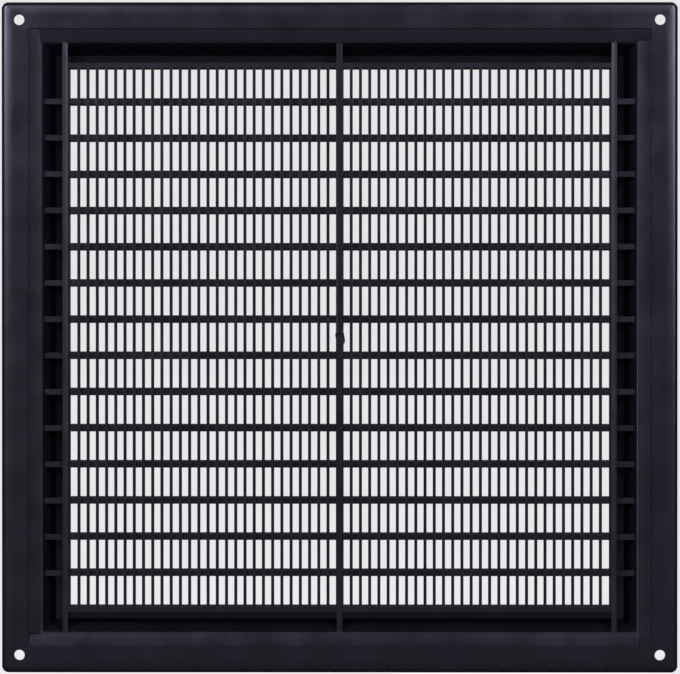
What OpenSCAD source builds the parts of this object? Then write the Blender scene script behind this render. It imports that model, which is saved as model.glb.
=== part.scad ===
// Fixed ventilation grille with an insect screen, moulded in one piece.
// X runs across the grille and Z up. The wall it is screwed to is the plane Y = 0, and the
// room is at minus Y. Sections are drawn as [inset from the plate's edge, depth from the wall].

/* [Flange] */
// Width of the flange that lies on the wall
plate_w = 250; // [200:1:320]
// Height of the flange that lies on the wall
plate_h = 248; // [200:1:320]
// Thickness of the flange
flange_t = 2; // [1.8:0.1:2.6]
// Width of the flat band around the rear recess
flange_w = 9.7; // [9.2:0.1:13]
// Radius of the flange's four corners
corner_r = 2.6; // [2:0.1:4]
// Radius of the flange's rear edge
edge_r = 1.6; // [0.8:0.1:1.7]
// Diameter of the screw holes
hole_d = 3.9; // [3:0.1:4.4]
// Distance of the screw holes from the two nearest edges
hole_inset = 6.5; // [5.5:0.1:6.8]

/* [Raised border] */
// Width of the recessed ledge inside the flange
ledge_w = 4.6; // [3:0.1:7]
// Depth of the ledge below the flange
ledge_d = 1.2; // [0.6:0.1:1.5]
// Width of the step on the room side, outside the ledge
step_w = 1.2; // [0.8:0.1:1.6]
// Radius of the step's four corners
step_r = 3; // [2.5:0.1:6]
// Radius from the ledge into the sloping wall
mouth_r = 1.1; // [0.6:0.1:1.4]
// Lean of the border's walls
wall_lean = 27; // [16:1:34]
// Thickness of the sloping walls and of the face
wall_t = 2; // [1.6:0.1:2.4]
// Radius of the border's front edge
face_r = 1.5; // [0.6:0.1:1.6]
// Depth of the whole grille, from the wall to its face
face_d = 12; // [10:0.5:16]
// Width of the floor between the sloping wall and the collar
gutter_w = 2.85; // [1.5:0.05:5]

/* [Slats and screen] */
// Thickness of the collar at the two sides of the opening
collar_side_t = 2.7; // [2.4:0.1:3.5]
// Thickness of the collar above and below the opening
collar_end_t = 2.35; // [2.2:0.05:3.5]
// Thickness of the ribs, and of each slat's rear edge
rib_t = 2.1; // [1.6:0.1:2.2]
// Thickness of a slat near its front edge
slat_t = 2.9; // [2.3:0.1:3.6]
// Distance between slats, fitted to the height of the opening
slat_pitch = 13.44; // [10:0.02:18]
// Setback of the slats from the face
slat_setback = 0.6; // [0.2:0.1:1.5]
// Width of the screen's fine upright bars
bar_w = 1.14; // [0.8:0.02:1.4]
// Distance between fine bars, counted from the middle rib
bar_pitch = 3.416; // [2.8:0.002:5]
// Depth of the fine bars
bar_d = 1.4; // [1:0.1:2]
// Setback of the ribs and fine bars from the ledge
screen_setback = 0.4; // [0.1:0.1:0.8]

/* [Gate remnant] */
// Radius of the pad that the broken gate left on the middle rib
gate_r = 1.65; // [1.5:0.05:1.8]
// Length of the pad
gate_l = 5.8; // [5:0.1:8]
// Height of the pad above the rib
gate_h = 0.3; // [0.1:0.1:0.5]
// Lean of the pad
gate_lean = 9; // [0:1:15]
// Offset of the pad from the rib's middle
gate_off = 0.2; // [0:0.05:0.4]
// Radius of the stub that is left of the gate
stub_r = 1.45; // [1:0.05:1.5]
// Height of the stub above the rib
stub_h = 0.9; // [0.6:0.1:1.2]

/* [Hidden] */
$fn = 48;
// Largest angle of one chord of a small arc
arc_chord = 30;
// How far a piece runs into what carries it, and how far a cut runs past what it cuts
seat = 0.5;
past = 1;

step_in = flange_w - step_w;
step_d = ledge_d + wall_t;
mouth_in = flange_w + ledge_w;
floor_d = face_d - wall_t;
// The straight part of the sloping wall starts where the mouth's radius ends
slope_in = mouth_in + mouth_r * cos(wall_lean);
slope_d = ledge_d + mouth_r - mouth_r * sin(wall_lean);
floor_in = wall_in(floor_d);
// Middle of the arc that rolls the outer slope into the face
face_arc_in = outer_in(face_d - face_r) + face_r / cos(wall_lean);

open_w = plate_w - 2 * (floor_in + gutter_w + collar_side_t);
open_h = plate_h - 2 * (floor_in + gutter_w + collar_end_t);
collar_w = open_w + 2 * collar_side_t;
collar_h = open_h + 2 * collar_end_t;
screen_d = ledge_d + screen_setback;
slat_rear_d = screen_d + bar_d;
slat_front_d = face_d - slat_setback;
// The slats' draft, which the collar's inner faces share
draft = (slat_t - rib_t) / 2;

slat_rows = round((open_h + slat_t) / slat_pitch);
slat_step = (open_h + slat_t) / slat_rows;
// The slot beside the collar takes what the pitch leaves over
half_open = (open_w - slat_t) / 2;
slot_w = bar_pitch - bar_w;
bars_half = floor((half_open - 0.9 * slot_w) / bar_pitch);

// Inset of the sloping wall's inner face at a depth
function wall_in(d) =
    d < slope_d
        ? mouth_in + sqrt(max(0, pow(mouth_r, 2) - pow(ledge_d + mouth_r - d, 2)))
        : slope_in + (d - slope_d) * tan(wall_lean);

// Inset of the sloping wall's outer face at a depth
function outer_in(d) = wall_in(d) - wall_t / cos(wall_lean);

// Points of an arc about [x, y], from one angle to another
function arc(x, y, r, from, to) =
    let (n = ceil(abs(to - from) / arc_chord))
    [for (i = [0 : n])
        let (a = from + (to - from) * i / n)
        [x + r * cos(a), y + r * sin(a)]];

function reversed(list) = [for (i = [len(list) - 1 : -1 : 0]) list[i]];

// Symmetric outline of a section, from points of one half given as [inset, depth]
module section(half, points) {
    right = [for (p = points) [half - p[0], -p[1]]];
    left = [for (p = reversed(points)) [p[0] - half, -p[1]]];
    polygon(concat(right, left));
}

// Runs an outline of [across, -depth] upwards, with its length centred
module along_z(length) {
    linear_extrude(height = length, center = true)
        children();
}

// Runs an outline of [up, -depth] across, with its length centred
module along_x(length) {
    rotate([0, 90, 0])
        linear_extrude(height = length, center = true)
            children();
}

// Rectangular form with one section on all four sides, mitred at its corners
module mitred(w, h, points) {
    intersection() {
        along_z(h + 2 * past) section(w / 2, points);
        along_x(w + 2 * past) section(h / 2, points);
    }
}

// Distance from the middle to the rounded corner's tangent that is turned by an angle
function corner_reach(a) =
    (plate_w / 2 - corner_r) * cos(a) + (plate_h / 2 - corner_r) * sin(a) + corner_r;

// Flat plate with a rolled rear edge, which slanted prisms carry round the corners
module flange() {
    edge = concat(reversed(arc(edge_r, edge_r, edge_r, 180, 270)), [[0, flange_t]]);
    intersection() {
        mitred(plate_w, plate_h, edge);
        intersection_for (a = [-60, -30, 30, 60]) {
            rotate([0, a, 0])
                along_z(plate_w + plate_h)
                    section(corner_reach(abs(a)), edge);
        }
    }
}

// Low step on the room side, over the ledge
module step() {
    x = plate_w / 2 - step_in - step_r;
    z = plate_h / 2 - step_in - step_r;
    rotate([90, 0, 0])
        translate([0, 0, flange_t / 2])
            linear_extrude(height = step_d - flange_t / 2)
                polygon(concat(
                    arc(x, z, step_r, 0, 90),
                    arc(-x, z, step_r, 90, 180),
                    arc(-x, -z, step_r, 180, 270),
                    arc(x, -z, step_r, 270, 360)
                ));
}

// Outer form of the sloping walls and the face
module border() {
    mitred(plate_w, plate_h, concat(
        [[outer_in(step_d), flange_t]],
        [[outer_in(step_d), step_d]],
        arc(face_arc_in, face_d - face_r, face_r, 180 - wall_lean, 90)
    ));
}

// Hollow of the border: the recessed ledge, the rolled mouth and the sloping walls
module hollow() {
    mitred(plate_w, plate_h, concat(
        [[flange_w, -past]],
        [[flange_w, ledge_d]],
        arc(mouth_in, ledge_d + mouth_r, mouth_r, -90, -wall_lean),
        [[floor_in, floor_d]]
    ));
}

// Collar that stands on the floor around the opening
module collar() {
    mitred(collar_w, collar_h, [[0, screen_d], [0, floor_d + seat]]);
}

// The opening, drafted like the slats
module opening() {
    mitred(open_w, open_h, [[-draft, -past], [-draft, screen_d], [0, slat_front_d], [0, face_d + past]]);
}

// Web across the gutter between the collar and the sloping wall, as [across, -depth]
module web_outline(collar_half, plate_half, rear_d) {
    polygon([
        [collar_half - seat, -rear_d],
        [plate_half - wall_in(rear_d) + seat, -rear_d],
        [plate_half - wall_in(floor_d) + seat, -floor_d - seat],
        [collar_half - seat, -floor_d - seat]
    ]);
}

// Three upright ribs, from the collar to the walls above and below
module rib_ends() {
    side_x = (collar_w - rib_t) / 2;
    for (x = [-side_x, 0, side_x]) {
        for (side = [0, 1]) {
            translate([x, 0, 0])
                mirror([0, 0, side])
                    rotate([0, -90, 0])
                        linear_extrude(height = rib_t, center = true)
                            web_outline(collar_h / 2, plate_h / 2, screen_d);
        }
    }
}

// Ends of the slats, from the collar to the walls at the two sides
module slat_ends() {
    for (i = [1 : slat_rows - 1]) {
        for (side = [0, 1]) {
            translate([0, 0, slat_z(i)])
                mirror([side, 0, 0])
                    along_z(rib_t)
                        web_outline(collar_w / 2, plate_w / 2, slat_rear_d);
        }
    }
}

// Height of a slat's middle, counted from the bottom
function slat_z(i) = -(open_h + slat_t) / 2 + i * slat_step;

// Drafted bar section, thicker towards its front edge, as [across, -depth]
module bar_outline(rear_d, front_d) {
    polygon([
        [rib_t / 2, -rear_d],
        [slat_t / 2, -front_d],
        [-slat_t / 2, -front_d],
        [-rib_t / 2, -rear_d]
    ]);
}

module slats() {
    for (i = [1 : slat_rows - 1]) {
        translate([0, 0, slat_z(i)])
            along_x(open_w + 2 * (draft + seat))
                bar_outline(slat_rear_d, slat_front_d);
    }
}

// Middle rib, set back a little from the slats' front edges
module middle_rib() {
    along_z(open_h + 2 * (draft + seat))
        bar_outline(screen_d, slat_front_d - slat_setback);
}

// Fine upright bars across the backs of the slats
module fine_bars() {
    for (side = [-1, 1]) {
        for (i = [1 : bars_half]) {
            x = slat_t / 2 + i * bar_pitch - bar_w / 2;
            along_z(open_h + 2 * (draft + seat))
                translate([side * x - bar_w / 2, -slat_rear_d])
                    square([bar_w, bar_d]);
        }
    }
}

// What the gate left on the middle rib: a low leaning pad, and the upper half of a stub
module gate() {
    reach = gate_l / 2 - gate_r;
    translate([-gate_off, -screen_d, 0])
        rotate([90, 0, 0])
            rotate([0, 0, -gate_lean]) {
                translate([0, 0, -gate_h])
                    linear_extrude(height = gate_h + seat)
                        polygon(concat(
                            arc(0, reach, gate_r, 0, 180),
                            arc(0, -reach, gate_r, 180, 360)
                        ));
                translate([0, 0, -stub_h])
                    linear_extrude(height = stub_h)
                        polygon(arc(0, reach, stub_r, 0, 180));
            }
}

module screw_holes() {
    for (x = [-1, 1]) {
        for (z = [-1, 1]) {
            translate([x * (plate_w / 2 - hole_inset), past, z * (plate_h / 2 - hole_inset)])
                rotate([90, 0, 0])
                    cylinder(h = flange_t + 2 * past, d = hole_d);
        }
    }
}

module grille() {
    color([0.12, 0.12, 0.14]) {
        difference() {
            union() {
                difference() {
                    union() {
                        flange();
                        step();
                        border();
                    }
                    hollow();
                }
                collar();
                rib_ends();
                slat_ends();
            }
            opening();
            screw_holes();
        }
        slats();
        middle_rib();
        fine_bars();
        gate();
    }
}

grille();
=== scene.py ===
"""Finish, light and view for a black moulded ventilation grille, seen from its wall side.

The grille stands upright on its lower edge: X runs across it, Z is up, the wall plane is Y = 0
and the room is at minus Y. All lengths are in metres unless a name or a docstring says
millimetres.
"""

import logging
import math
from dataclasses import dataclass, field
from enum import Enum

import bmesh
import bpy
from mathutils import Matrix, Vector


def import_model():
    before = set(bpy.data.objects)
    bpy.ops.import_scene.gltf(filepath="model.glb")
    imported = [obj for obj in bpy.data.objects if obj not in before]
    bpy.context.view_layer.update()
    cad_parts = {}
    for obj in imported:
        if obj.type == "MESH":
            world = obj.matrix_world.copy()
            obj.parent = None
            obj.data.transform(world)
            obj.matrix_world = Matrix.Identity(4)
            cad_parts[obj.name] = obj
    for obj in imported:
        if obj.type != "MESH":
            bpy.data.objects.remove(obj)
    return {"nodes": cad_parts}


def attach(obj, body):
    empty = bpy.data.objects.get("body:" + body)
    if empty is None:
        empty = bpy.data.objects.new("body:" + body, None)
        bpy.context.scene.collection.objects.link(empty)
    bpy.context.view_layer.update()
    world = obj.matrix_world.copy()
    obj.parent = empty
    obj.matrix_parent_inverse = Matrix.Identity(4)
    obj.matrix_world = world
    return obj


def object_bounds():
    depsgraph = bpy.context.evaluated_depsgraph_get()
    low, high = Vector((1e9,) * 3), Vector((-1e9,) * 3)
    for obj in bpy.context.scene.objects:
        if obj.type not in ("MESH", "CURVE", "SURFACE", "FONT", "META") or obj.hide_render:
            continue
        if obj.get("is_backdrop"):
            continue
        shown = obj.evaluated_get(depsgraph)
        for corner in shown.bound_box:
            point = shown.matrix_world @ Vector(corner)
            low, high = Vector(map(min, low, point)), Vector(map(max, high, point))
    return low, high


LOG = logging.getLogger("grille")
MM = 0.001
IMAGE_PX = (680, 674)
SMOOTH_DEG = 38.0


class Hand(Enum):
    """The two sides of the studio, as the camera sees them."""

    LEFT = 1
    RIGHT = -1


def linear(hex_colour: str) -> tuple[float, float, float, float]:
    """Turns an sRGB hex colour into linear RGBA.

    Args:
        hex_colour: six hex digits, such as "1b1b1e".

    Returns:
        Linear red, green, blue and an alpha of 1.
    """
    parts = [int(hex_colour[i:i + 2], 16) / 255 for i in (0, 2, 4)]
    return (*(p / 12.92 if p <= 0.04045 else ((p + 0.055) / 1.055) ** 2.4 for p in parts), 1.0)


def add_node(tree: bpy.types.NodeTree, kind: str, settings: dict | None = None,
             links: dict | None = None) -> bpy.types.Node:
    """Adds a node, sets its options and plain inputs, and links its other inputs.

    Args:
        tree: the shader or geometry tree that gets the node.
        kind: the node's type name.
        settings: option name, input name or input number, each with its value.
        links: input name or number, each with the output socket that feeds it.

    Returns:
        The new node.
    """
    node = tree.nodes.new(kind)
    for name, value in (settings or {}).items():
        if isinstance(name, str) and hasattr(node, name):
            setattr(node, name, value)
        else:
            node.inputs[name].default_value = value
    for name, socket in (links or {}).items():
        tree.links.new(socket, node.inputs[name])
    return node


@dataclass(frozen=True)
class MouldedPolystyrene:
    """Black polystyrene, injection-moulded: satin, with soft edges and glossier in the depth.

    The faces nearest to the wall reflect broad light as a dull sheen. The floor of the gutter
    is drawn glossier, as a polished core leaves it, so it mirrors only the dark room and looks
    near black. Close up there is a faint grain, drawn coarser than the real one so that it
    shows, and the surface sinks a little around the screw holes, where the melt flowed past
    the core pins. The black has a slight blue cast.
    """

    name: str = "black_polystyrene"
    base: str = "0c0c11"
    worn: str = "121219"
    glint: str = "dcdcff"
    ior: float = 1.59
    roughness: float = 0.31
    roughness_swing: float = 0.04
    polished: float = 0.13
    satin_to_mm: float = 3.2
    polished_from_mm: float = 8.5
    cloud_mm: float = 28.0
    cloud_spread: tuple[float, float] = (0.3, 0.7)
    gloss_finer: float = 2.3
    grain_mm: float = 0.35
    grain_depth_mm: float = 0.02
    grain_strength: float = 0.12
    edge_mm: float = 0.28
    edge_samples: int = 6
    hole_mm: tuple[float, float] = (118.5, 117.5)
    sink_from_mm: float = 1.5
    sink_to_mm: float = 5.0
    sink_depth_mm: float = 0.12
    sink_strength: float = 0.5

    def build(self) -> bpy.types.Material:
        """Builds the node material.

        Returns:
            The finished material.
        """
        material = bpy.data.materials.new(self.name)
        material.use_nodes = True
        tree = material.node_tree
        shader = tree.nodes["Principled BSDF"]
        shader.inputs["IOR"].default_value = self.ior
        shader.inputs["Specular Tint"].default_value = linear(self.glint)
        place = add_node(tree, "ShaderNodeTexCoord").outputs["Object"]
        tree.links.new(self._tone(tree, place), shader.inputs["Base Color"])
        tree.links.new(self._gloss(tree, place), shader.inputs["Roughness"])
        tree.links.new(self._relief(tree, place), shader.inputs["Normal"])
        return material

    def _tone(self, tree: bpy.types.NodeTree, place: bpy.types.NodeSocket) -> bpy.types.NodeSocket:
        """Clouds the black a little, as pigment does in a thin moulding.

        Args:
            tree: the material's tree.
            place: object coordinates in metres.

        Returns:
            The colour socket.
        """
        cloud = add_node(tree, "ShaderNodeTexNoise",
                         {"Scale": 1 / (self.cloud_mm * MM), "Detail": 3.0}, {"Vector": place})
        return add_node(tree, "ShaderNodeMix",
                        {"data_type": "RGBA", 6: linear(self.base), 7: linear(self.worn)},
                        {0: cloud.outputs["Fac"]}).outputs[2]

    def _gloss(self, tree: bpy.types.NodeTree, place: bpy.types.NodeSocket) -> bpy.types.NodeSocket:
        """Clouds the roughness by a few hundredths, and lets it fall with depth to a polish.

        Args:
            tree: the material's tree.
            place: object coordinates in metres.

        Returns:
            The roughness socket.
        """
        cloud = add_node(tree, "ShaderNodeTexNoise",
                         {"Scale": self.gloss_finer / (self.cloud_mm * MM), "Detail": 4.0},
                         {"Vector": place})
        satin = add_node(tree, "ShaderNodeMapRange",
                         {"From Min": self.cloud_spread[0], "From Max": self.cloud_spread[1],
                          "To Min": self.roughness - self.roughness_swing,
                          "To Max": self.roughness + self.roughness_swing},
                         {"Value": cloud.outputs["Fac"]})
        axes = add_node(tree, "ShaderNodeSeparateXYZ", {}, {0: place})
        near = add_node(tree, "ShaderNodeMapRange",
                        {"interpolation_type": "SMOOTHSTEP", "From Min": -self.polished_from_mm * MM,
                         "From Max": -self.satin_to_mm * MM}, {"Value": axes.outputs["Y"]})
        return add_node(tree, "ShaderNodeMix", {"data_type": "FLOAT", 2: self.polished},
                        {0: near.outputs["Result"], 3: satin.outputs["Result"]}).outputs[0]

    def _relief(self, tree: bpy.types.NodeTree, place: bpy.types.NodeSocket) -> bpy.types.NodeSocket:
        """Rounds the edges in the shading, sinks the screw corners and adds the mould's grain.

        Args:
            tree: the material's tree.
            place: object coordinates in metres.

        Returns:
            The normal socket.
        """
        rounded = add_node(tree, "ShaderNodeBevel",
                           {"samples": self.edge_samples, "Radius": self.edge_mm * MM})
        corner = add_node(tree, "ShaderNodeVectorMath", {"operation": "ABSOLUTE"}, {0: place})
        hole = Vector((self.hole_mm[0] * MM, 0.0, self.hole_mm[1] * MM))
        reach = add_node(tree, "ShaderNodeVectorMath", {"operation": "DISTANCE", 1: hole},
                         {0: corner.outputs[0]})
        sink = add_node(tree, "ShaderNodeMapRange",
                        {"interpolation_type": "SMOOTHSTEP", "From Min": self.sink_from_mm * MM,
                         "From Max": self.sink_to_mm * MM},
                        {"Value": reach.outputs["Value"]})
        dished = add_node(tree, "ShaderNodeBump",
                          {"Strength": self.sink_strength, "Distance": self.sink_depth_mm * MM},
                          {"Height": sink.outputs["Result"], "Normal": rounded.outputs["Normal"]})
        grain = add_node(tree, "ShaderNodeTexNoise",
                         {"Scale": 1 / (self.grain_mm * MM), "Detail": 2.0}, {"Vector": place})
        relief = add_node(tree, "ShaderNodeBump",
                          {"Strength": self.grain_strength, "Distance": self.grain_depth_mm * MM},
                          {"Height": grain.outputs["Fac"], "Normal": dished.outputs["Normal"]})
        return relief.outputs["Normal"]


@dataclass(frozen=True)
class PaleCard:
    """Matt grey card of the studio's floor, lifted to a plain pale tone for the camera alone.

    The card itself throws little light back on to the grille, and its own shading stays on top
    of the pale tone, so that the grille's shadow shows.
    """

    name: str = "pale_card"
    card: str = "5e5e62"
    seen: str = "e6e6e8"
    roughness: float = 0.9

    def build(self) -> bpy.types.Material:
        """Builds the node material.

        Returns:
            The finished material.
        """
        material = bpy.data.materials.new(self.name)
        material.use_nodes = True
        tree = material.node_tree
        shader = tree.nodes["Principled BSDF"]
        shader.inputs["Base Color"].default_value = linear(self.card)
        shader.inputs["Roughness"].default_value = self.roughness
        rays = add_node(tree, "ShaderNodeLightPath")
        plain = add_node(tree, "ShaderNodeEmission", {"Color": linear(self.seen)},
                         {"Strength": rays.outputs["Is Camera Ray"]})
        both = add_node(tree, "ShaderNodeAddShader", {},
                        {0: shader.outputs["BSDF"], 1: plain.outputs["Emission"]})
        tree.links.new(both.outputs["Shader"], tree.nodes["Material Output"].inputs["Surface"])
        return material


@dataclass
class Grille:
    """The one moulded piece, carried over from the solids and given its finish."""

    node: str = "grille"
    finish: MouldedPolystyrene = field(default_factory=MouldedPolystyrene)
    weld_mm: float = 0.002

    def dress(self, nodes: dict) -> bpy.types.Object:
        """Gives the solid its material and lets small arcs shade as curves.

        Args:
            nodes: the frame's nodes by name.

        Returns:
            The dressed object.
        """
        part = nodes[self.node]
        material = self.finish.build()
        for slot in part.material_slots:
            slot.material = material
        part.modifiers.new("soft_arcs", "NODES").node_group = self._soft_arcs()
        LOG.info("%s: %d faces, finish %s", part.name, len(part.data.polygons), material.name)
        return part

    def _soft_arcs(self) -> bpy.types.NodeTree:
        """Makes the modifier that welds split corners and keeps only real edges sharp.

        Returns:
            The geometry node tree.
        """
        tree = bpy.data.node_groups.new("soft_arcs", "GeometryNodeTree")
        tree.interface.new_socket("Geometry", in_out="INPUT", socket_type="NodeSocketGeometry")
        tree.interface.new_socket("Geometry", in_out="OUTPUT", socket_type="NodeSocketGeometry")
        start = add_node(tree, "NodeGroupInput")
        weld = add_node(tree, "GeometryNodeMergeByDistance", {"Distance": self.weld_mm * MM},
                        {"Geometry": start.outputs[0]})
        angle = add_node(tree, "GeometryNodeInputMeshEdgeAngle")
        sharp = add_node(tree, "FunctionNodeCompare",
                         {"operation": "GREATER_THAN", "B": math.radians(SMOOTH_DEG)},
                         {"A": angle.outputs["Unsigned Angle"]})
        shade = add_node(tree, "GeometryNodeSetMeshNormal",
                         {"mode": "SHARPNESS", "Remove Custom": True, "Face Sharpness": False},
                         {"Mesh": weld.outputs["Geometry"], "Edge Sharpness": sharp.outputs["Result"]})
        add_node(tree, "NodeGroupOutput", {}, {0: shade.outputs["Mesh"]})
        return tree


@dataclass(frozen=True)
class Strip:
    """A straight moulded strip: one closed section, given as [across, depth] in millimetres.

    The strip starts on the upright axis at X = across, Y = -depth, and a turn about Y brings it
    to the side of the grille that it belongs to.
    """

    name: str
    section: tuple[tuple[float, float], ...]
    low_mm: float
    high_mm: float
    turn_deg: float = 0.0

    def build(self, material: bpy.types.Material) -> bpy.types.Object:
        """Builds the strip as a closed mesh that rides on the grille.

        Args:
            material: the grille's finish.

        Returns:
            The strip.
        """
        mesh = bmesh.new()
        rings = [[mesh.verts.new((x * MM, -d * MM, z * MM)) for x, d in self.section]
                 for z in (self.low_mm, self.high_mm)]
        for i in range(len(self.section)):
            j = (i + 1) % len(self.section)
            face = mesh.faces.new((rings[0][i], rings[0][j], rings[1][j], rings[1][i]))
            face.smooth = True
        mesh.faces.new(rings[0])
        mesh.faces.new(rings[1])
        mesh.transform(Matrix.Rotation(math.radians(self.turn_deg), 4, "Y"))
        bmesh.ops.recalc_face_normals(mesh, faces=mesh.faces)
        for edge in mesh.edges:
            edge.smooth = edge.calc_face_angle(0.0) < math.radians(SMOOTH_DEG)
        data = bpy.data.meshes.new(self.name)
        mesh.to_mesh(data)
        mesh.free()
        data.materials.append(material)
        piece = bpy.data.objects.new(self.name, data)
        bpy.context.scene.collection.objects.link(piece)
        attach(piece, "root")
        LOG.info("%s: %.1f mm long", piece.name, self.high_mm - self.low_mm)
        return piece


def arc(x: float, d: float, r: float, start_deg: float, end_deg: float,
        steps: int) -> list[tuple[float, float]]:
    """Points of an arc in a section.

    Args:
        x: middle, across.
        d: middle, in depth.
        r: radius.
        start_deg: angle of the first point, from the across axis towards greater depth.
        end_deg: angle of the last point.
        steps: number of chords.

    Returns:
        The points as [across, depth].
    """
    angles = [math.radians(start_deg + (end_deg - start_deg) * i / steps) for i in range(steps + 1)]
    return [(x + r * math.cos(a), d + r * math.sin(a)) for a in angles]


@dataclass
class Ledge:
    """The crowned facing of the recessed ledge, in four strips that run past one another.

    Each strip falls from the flange towards the hollow, and runs into the corner at one end and
    stops short of the next strip at the other, as the inserts of the mould do. Sizes are in
    millimetres.
    """

    half_w: float = 125.0
    half_h: float = 124.0
    flange_w: float = 9.7
    ledge_w: float = 4.6
    ledge_d: float = 1.2
    mouth_r: float = 1.1
    tilt_from: float = 6.0
    tilt_to: float = 12.0
    root: float = 0.15
    steps: int = 6

    def section(self, half: float) -> tuple[tuple[float, float], ...]:
        """Works out one strip's section.

        Args:
            half: distance from the middle of the grille to the plate's edge.

        Returns:
            The closed section as [across, depth].
        """
        inner = self.flange_w + self.ledge_w + self.mouth_r * math.sin(math.radians(self.tilt_to))
        width = inner - self.flange_w
        low, high = math.radians(self.tilt_from), math.radians(self.tilt_to)
        radius = width / (math.sin(high) - math.sin(low))
        drop = self.mouth_r * (1 - math.cos(high))
        x, d = half - inner + radius * math.sin(high), self.ledge_d + drop + radius * math.cos(high)
        crown = arc(x, d, radius, self.tilt_from - 90, self.tilt_to - 90, self.steps)
        # The arc rises towards the flange, so it is turned over left to right
        crown = [(2 * x - a, b) for a, b in crown]
        seat = self.ledge_d + self.root
        return (*crown, (crown[-1][0], seat), (crown[0][0], seat))

    def build(self, material: bpy.types.Material) -> list[bpy.types.Object]:
        """Builds the four strips.

        Args:
            material: the grille's finish.

        Returns:
            The strips.
        """
        outer, inner = self.flange_w, self.flange_w + self.ledge_w
        pieces = []
        for name, turn, across, along in (("ledge_left", 0, self.half_w, self.half_h),
                                          ("ledge_top", -90, self.half_h, self.half_w),
                                          ("ledge_right", 180, self.half_w, self.half_h),
                                          ("ledge_bottom", 90, self.half_h, self.half_w)):
            strip = Strip(name, self.section(across), inner - along, along - outer, turn)
            pieces.append(strip.build(material))
        return pieces


@dataclass
class CollarSides:
    """The two upright sides of the collar: round outside, falling towards the opening.

    Sizes are in millimetres.
    """

    outer: float = 102.69
    width: float = 2.1
    rear_d: float = 1.6
    rise: float = 0.45
    edge_r: float = 0.5
    reach: float = 109.45
    root: float = 0.15
    steps: int = 5

    def section(self) -> tuple[tuple[float, float], ...]:
        """Works out the section of one side.

        Returns:
            The closed section as [across, depth].
        """
        top = self.rear_d - self.rise
        run = self.width - self.edge_r
        fall = math.degrees(math.atan2(self.rise, run))
        edge = arc(self.outer - self.edge_r, top + self.edge_r, self.edge_r, 0, -90 - fall, self.steps)
        inner = self.outer - self.width
        return (*edge, (inner, self.rear_d), (inner, self.rear_d + self.root),
                (self.outer, self.rear_d + self.root))

    def build(self, material: bpy.types.Material) -> list[bpy.types.Object]:
        """Builds both sides.

        Args:
            material: the grille's finish.

        Returns:
            The two pieces.
        """
        return [Strip(name, self.section(), -self.reach, self.reach, turn).build(material)
                for name, turn in (("collar_side_left", 0), ("collar_side_right", 180))]


@dataclass
class SoftBox:
    """One square lamp behind a diffuser, aimed at the middle of the grille."""

    hand: Hand
    power_w: float
    off_axis_deg: float
    rise_deg: float
    size: float = 0.45
    distance: float = 1.1

    def build(self) -> bpy.types.Object:
        """Builds the lamp.

        Returns:
            The lamp object.
        """
        data = bpy.data.lights.new(f"softbox_{self.hand.name.lower()}", "AREA")
        data.shape = "SQUARE"
        data.size = self.size
        data.energy = self.power_w
        swing, rise = math.radians(self.off_axis_deg), math.radians(self.rise_deg)
        lamp = bpy.data.objects.new(data.name, data)
        lamp.location = Vector((self.hand.value * math.sin(swing) * math.cos(rise),
                                math.cos(swing) * math.cos(rise), math.sin(rise))) * self.distance
        lamp.rotation_euler = (-lamp.location).to_track_quat("-Z", "Y").to_euler()
        bpy.context.scene.collection.objects.link(lamp)
        LOG.info("%s: %.0f W", lamp.name, self.power_w)
        return lamp


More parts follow.
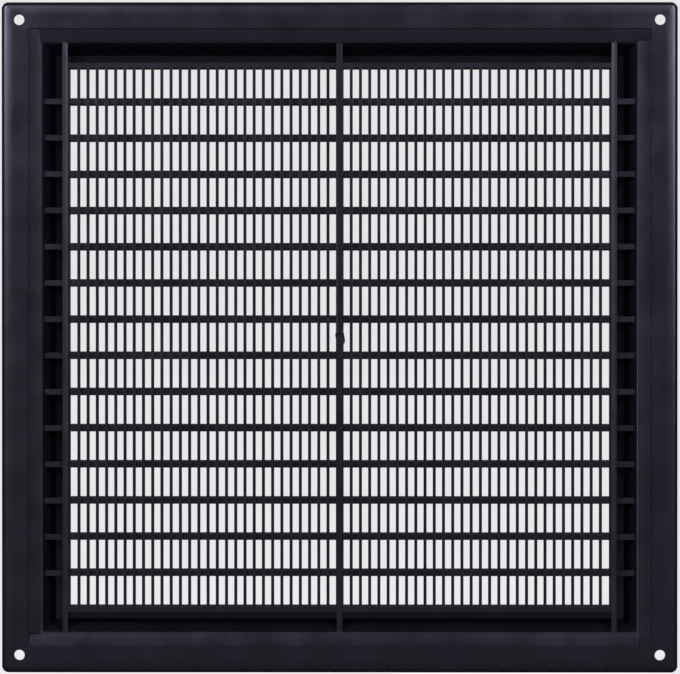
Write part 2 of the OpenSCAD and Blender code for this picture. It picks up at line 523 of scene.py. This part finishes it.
@dataclass
class Studio:
    """Floor, surrounding light and lamps."""

    floor_z: float
    floor_size: float = 12.0
    surround: float = 0.05
    card: PaleCard = field(default_factory=PaleCard)
    lamps: tuple[SoftBox, ...] = (
        SoftBox(Hand.LEFT, 8.8, 35.0, 22.0),
        SoftBox(Hand.RIGHT, 8.0, 35.0, 22.0),
    )

    def build(self) -> None:
        """Builds the floor, the world and the lamps."""
        self._floor()
        self._world()
        for lamp in self.lamps:
            lamp.build()

    def _floor(self) -> bpy.types.Object:
        """Lays the card that the grille stands on.

        Returns:
            The floor object.
        """
        half = self.floor_size / 2
        mesh = bpy.data.meshes.new("floor")
        corners = [(-half, -half, self.floor_z), (half, -half, self.floor_z),
                   (half, half, self.floor_z), (-half, half, self.floor_z)]
        mesh.from_pydata(corners, [], [(0, 1, 2, 3)])
        floor = bpy.data.objects.new("floor", mesh)
        bpy.context.scene.collection.objects.link(floor)
        mesh.materials.append(self.card.build())
        floor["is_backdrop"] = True
        LOG.info("floor at %.4f m", self.floor_z)
        return floor

    def _world(self) -> bpy.types.World:
        """Surrounds the scene with even light, which the camera sees as the card's pale tone.

        Returns:
            The world.
        """
        world = bpy.data.worlds.new("studio")
        world.use_nodes = True
        tree = world.node_tree
        tree.nodes.clear()
        rays = add_node(tree, "ShaderNodeLightPath")
        seen = add_node(tree, "ShaderNodeBackground",
                        {"Color": linear(self.card.seen), "Strength": 1.0})
        light = add_node(tree, "ShaderNodeBackground",
                         {"Color": linear("ffffff"), "Strength": self.surround})
        mix = add_node(tree, "ShaderNodeMixShader", {},
                       {0: rays.outputs["Is Camera Ray"], 1: light.outputs[0], 2: seen.outputs[0]})
        add_node(tree, "ShaderNodeOutputWorld", {}, {"Surface": mix.outputs[0]})
        bpy.context.scene.world = world
        return world


@dataclass
class Viewpoint:
    """The camera: a long lens a little above the middle, looking at the wall side."""

    distance: float = 2.4
    rise_deg: float = 0.7
    swing_deg: float = 0.4
    plate_w: float = 0.25
    plate_px: float = 676.1
    aim: tuple[float, float, float] = (-0.00016, 0.0, 0.00022)
    sensor_mm: float = 36.0

    def build(self) -> bpy.types.Object:
        """Builds the camera and makes it the scene's own.

        Returns:
            The camera object.
        """
        data = bpy.data.cameras.new("camera")
        data.sensor_width = self.sensor_mm
        focal_px = self.distance * self.plate_px / self.plate_w
        data.lens = focal_px * self.sensor_mm / max(IMAGE_PX)
        data.clip_start = 0.05
        data.clip_end = 50.0
        rise, swing = math.radians(self.rise_deg), math.radians(self.swing_deg)
        back = Vector((-math.sin(swing) * math.cos(rise), math.cos(swing) * math.cos(rise),
                       math.sin(rise)))
        camera = bpy.data.objects.new("camera", data)
        camera.location = Vector(self.aim) + back * self.distance
        camera.rotation_euler = (-back).to_track_quat("-Z", "Y").to_euler()
        bpy.context.scene.collection.objects.link(camera)
        bpy.context.scene.camera = camera
        LOG.info("camera: %.0f mm lens at %.2f m", data.lens, self.distance)
        return camera


def main() -> None:
    """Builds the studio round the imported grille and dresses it."""
    logging.basicConfig(level=logging.INFO, format="%(name)s: %(message)s")
    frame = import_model()
    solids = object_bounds()
    Viewpoint().build()
    material = Grille().dress(frame["nodes"]).material_slots[0].material
    Ledge().build(material)
    CollarSides().build(material)
    Studio(floor_z=solids[0].z).build()
    bpy.context.scene.view_settings.view_transform = "Standard"


if __name__ == "__main__":
    main()
